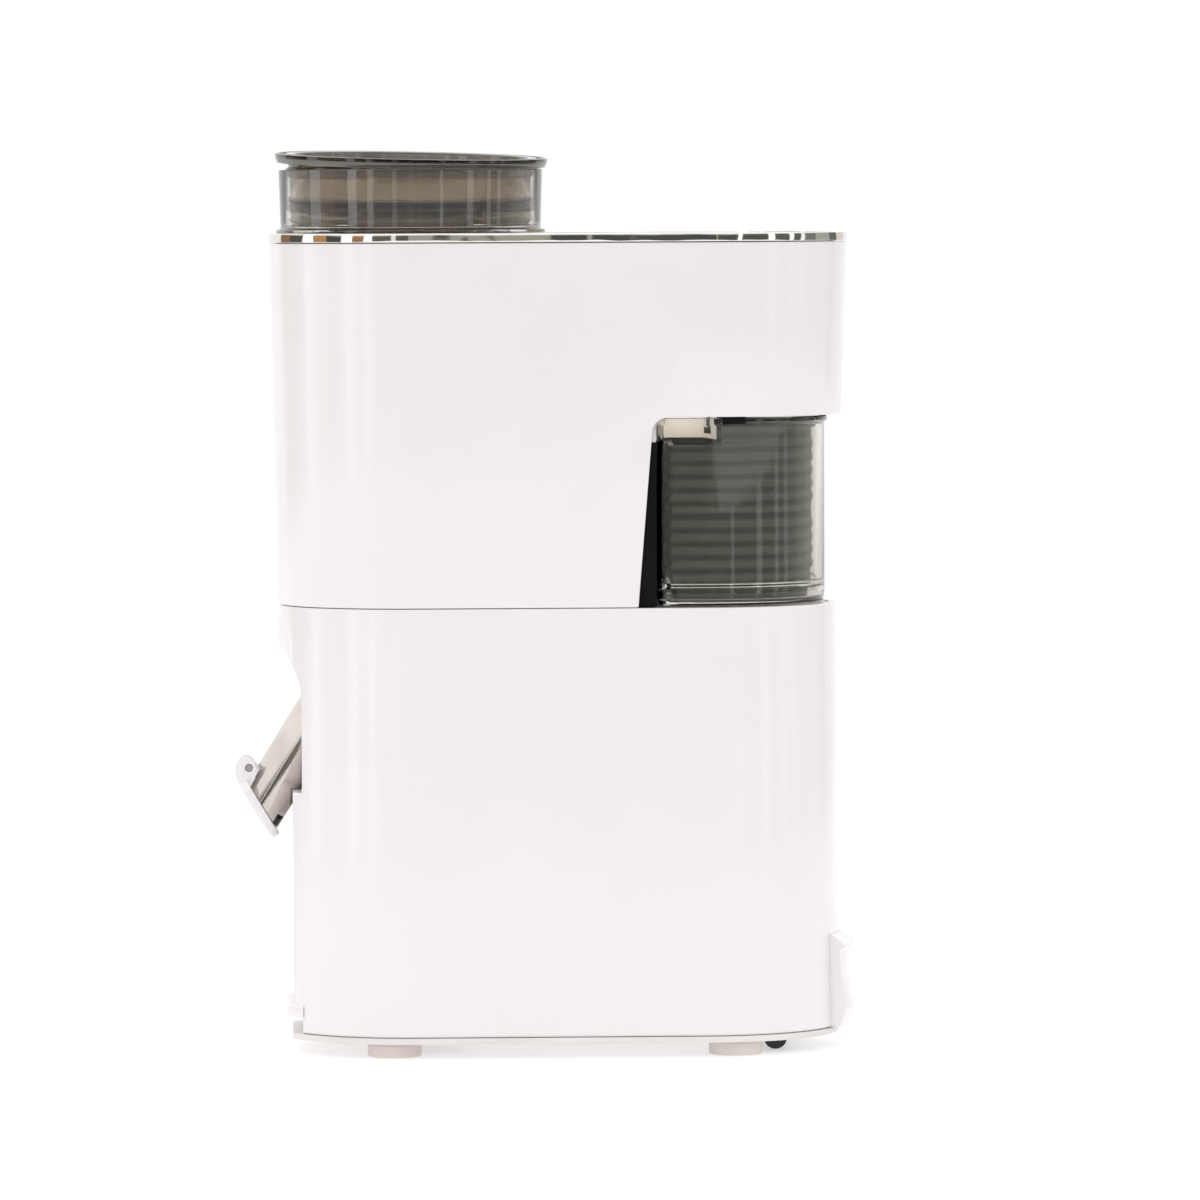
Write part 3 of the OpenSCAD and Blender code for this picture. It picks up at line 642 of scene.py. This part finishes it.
# %% Lid trim and plate
TRIM_SECTION = [(61.3, 362.4, 0.2), (63.8, 362.4, 0.25), (63.8, 366.4, 0.9), (61.3, 366.4, 0.3)]
trim = pulled_out(turned("bright_trim", TRIM_SECTION), lambda z: REAR_X + REAR_SWELL)
done(trim, "lid", mirror_chrome, "chrome_trim", "lid_trim")
PLATE_SECTION = [(0, 362.4), (57.6, 362.4), (57.6, 356, 0.3), (60, 356, 0.3), (60, 362.4),
                 (61.1, 362.4, 0.2), (61.1, 366, 0.5), (0, 366)]
plate = long_form("lid_top", PLATE_SECTION)
combine(plate, turned("throat_hole", [(0, 350), (33, 350), (33, 370), (0, 370)], closed=False))
soften(plate, 0.25, 2, 50)
done(plate, "lid", white_gloss, "white_gloss", "lid_plate")

# %% [markdown]
# ## Hopper
# A clear moulded cup on the lid, with a foot flange, a thin wall and a floor that turns down into the
# feed throat. Clear plastic only looks right when the wall has two faces, so the section is closed.

# %% Hopper
HOPPER_SECTION = [(60.5, 366.45, 0.4), (60.5, 368, 0.7), (58.4, 368.6, 0.8), (59.2, 394.9, 0.7),
                  (57.4, 394.9, 0.7), (56.7, 368.6, 1.4), (30, 368.6, 1.6), (30, 222, 0.6),
                  (32.5, 222, 0.6), (32.5, 366.45, 0.8)]
done(turned("hopper_cup", HOPPER_SECTION), "lid", clear_wall, "clear_plastic", "hopper")

# %% [markdown]
# ## Pusher
# A smoke-tinted cup that fills the hopper, with a wide rim, a darker neck, a floor, a black seal, a skirt,
# and a plunger below it that goes down the throat. It rests a little crooked, so its rim is tipped slightly.

# %% Pusher
RIM_PIVOT = Vector((DRIVE_X * MM, 0, 386 * MM))
TIP_SIDEWAYS = Matrix.Rotation(math.radians(2.0), 4, "X")
TIP_FORWARDS = Matrix.Rotation(math.radians(1.3), 4, "Y")
PUSHER_TIP = Matrix.Translation(RIM_PIVOT) @ TIP_SIDEWAYS @ TIP_FORWARDS @ Matrix.Translation(-RIM_PIVOT)
CUP_SECTION = [(0, 376.2), (54.7, 376.2, 0.3), (54.9, 397.6, 0.5),
               (52.5, 397.6, 0.5), (52.3, 379.8, 1.6), (0, 379.8)]
RIM_SECTION = [(52.5, 397.65, 0.3), (54.6, 396.6, 0.3), (60.2, 396.9, 0.9), (61.1, 399.4, 0.5),
               (61.2, 401.2, 0.9), (59.8, 401.2, 0.3), (59.2, 400.0, 0.3), (56.6, 400.0, 0.3),
               (56.1, 401.2, 0.4), (52.8, 401.0, 0.6)]
PLUNGER_SECTION = [(0, 300), (28.5, 300, 1.2), (28.5, 374.5, 0.8), (27, 376.15, 0.3), (0, 376.15)]
SKIRT_SECTION = [(50.6, 369.9, 0.5), (54.6, 369.9, 0.8), (54.7, 376.1, 0.2), (50.6, 376.1, 0.2)]
NECK_SECTION = [(54.95, 390.0, 0.3), (56.1, 390.6, 0.4), (56.1, 395.6, 0.4), (54.95, 396.2, 0.3)]
RING_SECTION = [(55.0, 375.4, 0.4), (56.2, 375.5, 0.5), (56.2, 379.4, 0.5), (55.0, 379.5, 0.4)]
pusher_parts = [
    (turned("pusher_bowl", CUP_SECTION, closed=False), smoke_tint, "smoke_plastic", "pusher_cup"),
    (turned("pusher_rim", RIM_SECTION), smoke_rim, "smoke_plastic", None),
    (turned("pusher_stem", PLUNGER_SECTION, closed=False), smoke_tint, "smoke_plastic", "pusher_plunger"),
    (turned("pusher_skirt", SKIRT_SECTION), smoke_skirt, "smoke_plastic", None),
    (turned("pusher_neck", NECK_SECTION), smoke_skirt, "smoke_plastic", None),
    (turned("pusher_seal", RING_SECTION), smoke_dark, "smoke_plastic", "pusher_ring"),
]
for piece, looks, slot_name, node_name in pusher_parts:
    if piece.name == "pusher_rim":
        piece.data.transform(PUSHER_TIP)
    done(piece, "pusher", looks, slot_name, *([node_name] if node_name else []))

# %% [markdown]
# ## Pulp container
# A clear outer jar and a dark ribbed bin inside it. The plan is a half round at the rear with straight
# sides to a flat front. It is spun like the rest, then the front half of each ring is squared off.

# %% Squaring off the front of a spun form
JAR_FRONT, JAR_RADIUS, JAR_CORNER = 48.2, 55.5, 3.6


def front_outline(radius, share):
    corner = max(0.8, JAR_CORNER - (JAR_RADIUS - radius))
    front = JAR_FRONT + (JAR_RADIUS - radius)
    straight = REAR_X - front - corner
    bend = corner * math.pi / 2
    along = share * (straight + bend + radius - corner)
    if along < straight:
        return REAR_X - along, radius
    if along < straight + bend:
        angle = (along - straight) / corner
        return front + corner - corner * math.sin(angle), radius - corner + corner * math.cos(angle)
    return front, radius - corner - (along - straight - bend)


# A ring smaller than this is a smaller copy of it, so that the floor and its middle stay smooth.
SMALLEST_RING = 40.0


def squared_front(obj):
    for vertex in obj.data.vertices:
        x = vertex.co.x / MM - REAR_X
        y = vertex.co.y / MM
        radius = math.hypot(x, y)
        if x >= -0.001 or radius < 0.01:
            continue
        share = (math.atan2(abs(y), x) - math.pi / 2) / (math.pi / 2)
        kept = max(radius, SMALLEST_RING)
        new_x, new_y = front_outline(kept, share)
        scale = radius / kept
        vertex.co.x = (REAR_X + (new_x - REAR_X) * scale) * MM
        vertex.co.y = math.copysign(new_y * scale, y) * MM
    return obj


# %% Jar and bin
JAR_SECTION = [(0, 201.2), (45, 201.2, 0.5), (48, 200.4, 0.5), (54.8, 200.4, 1.6), (55.5, 206, 2),
               (55.5, 280.6, 0.8), (56.8, 281.8, 0.8), (56.8, 284, 0.9), (52.5, 284, 0.8),
               (52.5, 210.6, 0.5), (50.7, 209.8, 0.4), (50.7, 208.9, 0.4), (52.5, 208.0, 0.5),
               (52.5, 203.4, 1.0), (49.5, 202.4, 1.0), (0, 202.4)]
JAR_STEPS = 160
RIM_FLUSH_TO = 79  # ahead of here the jar's rim lies flush with its wall, to slide into the niche
jar = squared_front(turned("clear_container", JAR_SECTION, REAR_X, False, JAR_STEPS))
for vertex in jar.data.vertices:
    if vertex.co.x < RIM_FLUSH_TO * MM:
        radial = abs(vertex.co.y) / MM
        if radial > JAR_RADIUS:
            vertex.co.y = math.copysign(JAR_RADIUS, vertex.co.y) * MM
        if vertex.co.x < JAR_FRONT * MM:
            vertex.co.x = JAR_FRONT * MM
combine(jar, slab("jar_notch", (45, -22, 271), (60, 22, 290)))
done(jar, "container", clear_jar, "clear_plastic", "pulp_jar")

bin_corners = [(0, 202.9), (47.2, 202.9, 1.2), (48.0, 208.2, 0.6), (49.4, 209.4, 0.8), (49.5, 214.8)]
BAND_START, BAND_STEP, BAND_COUNT, SEAM_BAND = 215.6, 6, 10, 4
for k in range(BAND_COUNT):
    foot_z = BAND_START + BAND_STEP * k
    if k == SEAM_BAND:
        bin_corners += [(49.7, 240.6, 0.2), (49.0, 240.7), (49.0, 241.5), (49.7, 241.6, 0.2)]
        continue
    bin_corners += [(49.7, foot_z - 0.6), (50.35, foot_z + 0.2, 0.5),
                    (50.35, foot_z + 2.6, 0.5), (49.7, foot_z + 3.4)]
bin_corners += [(49.7, 278.4, 0.3), (51.9, 279.0, 0.3), (51.9, 281, 0.4),
                (47.9, 281, 0.6), (47.9, 211, 2), (0, 210.7)]
ribbed = squared_front(turned("ribbed_bin", bin_corners, REAR_X, False, JAR_STEPS))
combine(ribbed, slab("bin_notch", (45, -60, 271.5), (77, 60, 290)))
done(ribbed, "container", bin_dark, "dark_bin", "pulp_bin", angle=25)

# %% [markdown]
# ## Spout and its flap
# The spout is a straight polished tube, sloping down and forwards. Its end is cut at a slant, along the
# flat face of the flap that shuts it.
# The flap is a white plate with two ears that turn on a steel pin held by a bracket on the tube. Each ear
# is drawn from the side, because its outer line carries on from the plate in one curve.

# %% Spout tube
FLAP_LEAN = math.radians(-31)
TUBE_IN, TUBE_OUT, TUBE_REACH = 10.2, 11.2, 51.5
tube = turned("spout_pipe", [(TUBE_IN, -20, 0), (TUBE_OUT, -20, 0), (TUBE_OUT, TUBE_REACH, 0.3),
                             (TUBE_IN, TUBE_REACH, 0.3)], 0, True, 96)
tube.data.transform(at_spout(math.pi / 2 - SPOUT_SLOPE))
flap_frame = at_spout(FLAP_LEAN)
cutter = slab("spout_cut", (-60, -40, -60), (0, 40, 60))
cutter.data.transform(flap_frame)
combine(tube, cutter)
done(tube, "base", spout_steel, "steel", "spout_tube")

# %% Flap and bracket
FLAP_PIN = (3.54, 17.76)
EAR_AT, EAR_HALF = 7.8, 1.5
flap_disc = turned("flap_plate", [(0, -4.2), (16.2, -4.2, 1.6), (16.5, -0.3, 0.5), (0, -0.3)], 0, False, 96)
flap_disc.data.transform(Matrix.Translation((0, 0, 0.001)) @ Matrix.Rotation(math.pi / 2, 4, "Y"))
combine(flap_disc, slab("flap_keep", (-20, -14, -15), (20, 14, 16)), "INTERSECT")
EAR_OUTLINE = [(-4.1, 9.5), (-4.1, 15.5), (-3.3, 18.6), (-1.6, 21.0), (0.8, 22.6), (3.4, 23.2), (5.2, 22.6),
               (6.4, 21.1), (6.7, 19.0), (6.5, 15.2), (5.6, 13.9), (-0.4, 9.9)]
for side in (-1, 1):
    ear = prism("ear", EAR_OUTLINE, EAR_HALF)
    ear.data.transform(Matrix.Translation((0, side * EAR_AT * MM, 0)))
    combine(flap_disc, ear, "UNION")
combine(flap_disc, cross_rod("pin_room", [(0, -20), (1.75, -20), (1.75, 20), (0, 20)], *FLAP_PIN))
soften(flap_disc, 0.4, 2, 40)
flap_disc.data.transform(flap_frame)
done(flap_disc, "flap", white_gloss, "white_gloss", "spout_flap")

BARREL_HALF = 5.9
barrel = cross_rod("flap_barrel", [(0, -BARREL_HALF), (3, -BARREL_HALF, 0.5), (3, BARREL_HALF, 0.5),
                                   (0, BARREL_HALF)], *FLAP_PIN)
combine(barrel, slab("bracket_web", (3.04, -BARREL_HALF, 10), (7.4, BARREL_HALF, 18.6)), "UNION")
barrel.data.transform(flap_frame)
combine(barrel, slanted_rod("tube_room", 11.25, -20, 40))
soften(barrel, 0.3, 2, 50)
done(barrel, "base", white_gloss, "white_gloss", "flap_bracket")

# %% [markdown]
# ## Switch, plug, gland and tie
# Small moulded pieces. The rocker is a block with two sloped faces, so it is drawn from the side and
# given width. The plug is a lofted grip that swells from the lead to its face.

# %% Rocker
rocker_outline = [(-110.9, 84.2), (-113.6, 84.2), (-114.1, 85.0), (-113.8, 89.0), (-113.9, 92.0),
                  (-113.8, 95.0), (-114.1, 99.0), (-113.6, 99.8), (-110.9, 99.8)]
rocker = prism("rocker_key", rocker_outline, 7.5)
combine(rocker, cross_rod("rocker_pin_hole", [(0, -12), (1.1, -12), (1.1, 12), (0, 12)], -112.4, 92, 32))
soften(rocker, 0.3, 2, 30)
done(rocker, "rocker", black_plastic, "dark_plastic", "power_rocker")

# %% Plug
PLUG_AT = Vector((-35.6, 100, 7))
# Each row of the plug is how far along it lies, its half width and half height, and how square it is.
plug_rows = [(0.0, 3.4, 3.4, 1.0), (3, 3.6, 3.6, 1.0), (9, 4.6, 4.4, 0.9), (16, 8.2, 6.0, 0.7),
             (22, 10.6, 6.85, 0.45), (28, 10.9, 6.9, 0.38), (31.4, 10.8, 6.8, 0.36), (32, 10.2, 6.2, 0.36)]
plug_points, plug_faces = [], []
PLUG_STEPS = 48
for along, half_wide, half_high, roundness in plug_rows:
    for k in range(PLUG_STEPS):
        angle = 2 * math.pi * k / PLUG_STEPS
        across, up = math.cos(angle), math.sin(angle)
        across = math.copysign(abs(across) ** roundness, across)
        up = math.copysign(abs(up) ** roundness, up)
        plug_points.append(((PLUG_AT.x + half_wide * across) * MM, (PLUG_AT.y + along) * MM,
                            (PLUG_AT.z + half_high * up) * MM))
for row in range(len(plug_rows) - 1):
    for k in range(PLUG_STEPS):
        a, b = row * PLUG_STEPS + k, row * PLUG_STEPS + (k + 1) % PLUG_STEPS
        plug_faces.append((a, b, b + PLUG_STEPS, a + PLUG_STEPS))
plug_faces.append(tuple(range(PLUG_STEPS)))
plug_faces.append(tuple(range((len(plug_rows) - 1) * PLUG_STEPS, len(plug_rows) * PLUG_STEPS)))
plug_mesh = bpy.data.meshes.new("plug_grip")
plug_mesh.from_pydata(plug_points, [], plug_faces)
plug_grip = bpy.data.objects.new("plug_grip", plug_mesh)
bpy.context.scene.collection.objects.link(plug_grip)
start_edit(plug_grip)
bpy.ops.mesh.normals_make_consistent(inside=False)
bpy.ops.object.mode_set(mode="OBJECT")
done(plug_grip, "base", black_rubber, "dark_plastic", "mains_plug")

# %% Gland and tie keep their CAD shape
dress("cord_gland", black_rubber)
dress("coil_tie", grey_plastic)
lead.data.materials.append(black_rubber)

# %% [markdown]
# ## Studio
# The juicer stands in a white light tent: a bright floor, a bright canopy, and toned strips all round it
# near the horizon, which give the mirror-bright pieces something to show.

# %% Floor and surround
scene = bpy.context.scene
scene.view_settings.view_transform = "Standard"
world = bpy.data.worlds.new("light_tent")
world.use_nodes = True
# Each row is an angle in degrees round from the -Y side, then the light that comes from there onwards.
SURROUND = [
    (-180, 1.0, 1.0, 1.0), (-134, 0.3, 0.18, 0.1), (-118, 0.1, 0.1, 0.08), (-100, 1.6, 1.6, 1.6),
    (-88, 0.5, 0.27, 0.13), (-72, 0.08, 0.08, 0.07), (-58, 2.2, 2.2, 2.2), (-50, 0.36, 0.2, 0.1),
    (-40, 1.9, 1.9, 1.9), (-34, 0.13, 0.13, 0.1), (-17, 0.9, 0.9, 0.88), (-14, 0.11, 0.11, 0.09),
    (-3, 0.4, 0.38, 0.34), (1, 0.08, 0.08, 0.07), (6, 0.5, 0.4, 0.28), (8, 0.09, 0.1, 0.08),
    (24, 1.5, 1.5, 1.5), (27, 0.1, 0.11, 0.09), (50, 1.5, 1.5, 1.5), (56, 0.12, 0.13, 0.1),
    (70, 1.3, 1.3, 1.3), (74, 0.12, 0.13, 0.11), (81, 1.1, 1.1, 1.1), (85, 0.2, 0.22, 0.18),
    (97, 0.42, 0.45, 0.38), (118, 0.16, 0.16, 0.14), (130, 0.8, 0.76, 0.7), (146, 1.0, 1.0, 1.0)]
TENT_STRENGTH = 3.0
tent = world.node_tree
tent_light = tent.nodes["Background"]
direction = tent.nodes.new("ShaderNodeTexCoord")
split = tent.nodes.new("ShaderNodeSeparateXYZ")
tent.links.new(direction.outputs["Generated"], split.inputs["Vector"])
towards = tent.nodes.new("ShaderNodeMath")
towards.operation = "MULTIPLY"
towards.inputs[1].default_value = -1
tent.links.new(split.outputs["Y"], towards.inputs[0])
around = tent.nodes.new("ShaderNodeMath")
around.operation = "ARCTAN2"
tent.links.new(split.outputs["X"], around.inputs[0])
tent.links.new(towards.outputs["Value"], around.inputs[1])
share_round = tent.nodes.new("ShaderNodeMapRange")
share_round.inputs["From Min"].default_value = -math.pi
share_round.inputs["From Max"].default_value = math.pi
tent.links.new(around.outputs["Value"], share_round.inputs["Value"])
strips = tent.nodes.new("ShaderNodeValToRGB")
strips.color_ramp.interpolation = "CONSTANT"
for k, (degrees, red, green, blue) in enumerate(SURROUND):
    place = (degrees + 180) / 360
    stop = strips.color_ramp.elements[0] if k == 0 else strips.color_ramp.elements.new(place)
    stop.position = place
    stop.color = (red / TENT_STRENGTH, green / TENT_STRENGTH, blue / TENT_STRENGTH, 1)
strips.color_ramp.elements.remove(strips.color_ramp.elements[-1])
tent.links.new(share_round.outputs["Result"], strips.inputs["Fac"])
overhead = tent.nodes.new("ShaderNodeMapRange")
overhead.inputs["From Min"].default_value = 0.14
overhead.inputs["From Max"].default_value = 0.3
tent.links.new(split.outputs["Z"], overhead.inputs["Value"])
canopy = tent.nodes.new("ShaderNodeMix")
canopy.data_type = "RGBA"
canopy.inputs["B"].default_value = (0.405, 0.403, 0.404, 1)
tent.links.new(overhead.outputs["Result"], canopy.inputs["Factor"])
tent.links.new(strips.outputs["Color"], canopy.inputs["A"])
backdrop = tent.nodes.new("ShaderNodeMix")
backdrop.data_type = "RGBA"
backdrop.inputs["B"].default_value = (0.34, 0.34, 0.34, 1)
seen_ray = tent.nodes.new("ShaderNodeLightPath")
tent.links.new(seen_ray.outputs["Is Camera Ray"], backdrop.inputs["Factor"])
tent.links.new(canopy.outputs["Result"], backdrop.inputs["A"])
tent.links.new(backdrop.outputs["Result"], tent_light.inputs["Color"])
tent_light.inputs["Strength"].default_value = TENT_STRENGTH
scene.world = world

floor_look = bpy.data.materials.new("tent_floor")
floor_look.use_nodes = True
floor_shader = floor_look.node_tree.nodes["Principled BSDF"]
floor_shader.inputs["Base Color"].default_value = (0.55, 0.55, 0.55, 1)
floor_shader.inputs["Roughness"].default_value = 0.9
floor_shader.inputs["Emission Color"].default_value = (1, 1, 1, 1)
floor_shader.inputs["Emission Strength"].default_value = 0.5
bpy.ops.object.select_all(action="DESELECT")
FLOOR_RADIUS = 2.4
bpy.ops.mesh.primitive_circle_add(vertices=96, radius=FLOOR_RADIUS, fill_type="NGON", location=(0, 0, 0))
floor = bpy.context.object
floor.name = "studio_floor"
floor.data.materials.append(floor_look)

# %% Outlet lamp
# A small lamp lights the pulp outlet through the container's side.
bpy.ops.object.select_all(action="DESELECT")
bpy.ops.object.light_add(type="AREA", location=(0.062, -0.047, 0.279), rotation=(math.radians(90), 0, 0))
outlet_lamp = bpy.context.object
outlet_lamp.name = "outlet_lamp"
outlet_lamp.data.shape = "RECTANGLE"
outlet_lamp.data.size = 0.024
outlet_lamp.data.size_y = 0.008
outlet_lamp.data.energy = 0.0075
outlet_lamp.data.color = (1.0, 0.95, 0.88)

# %% Update the scene
bpy.context.view_layer.update()
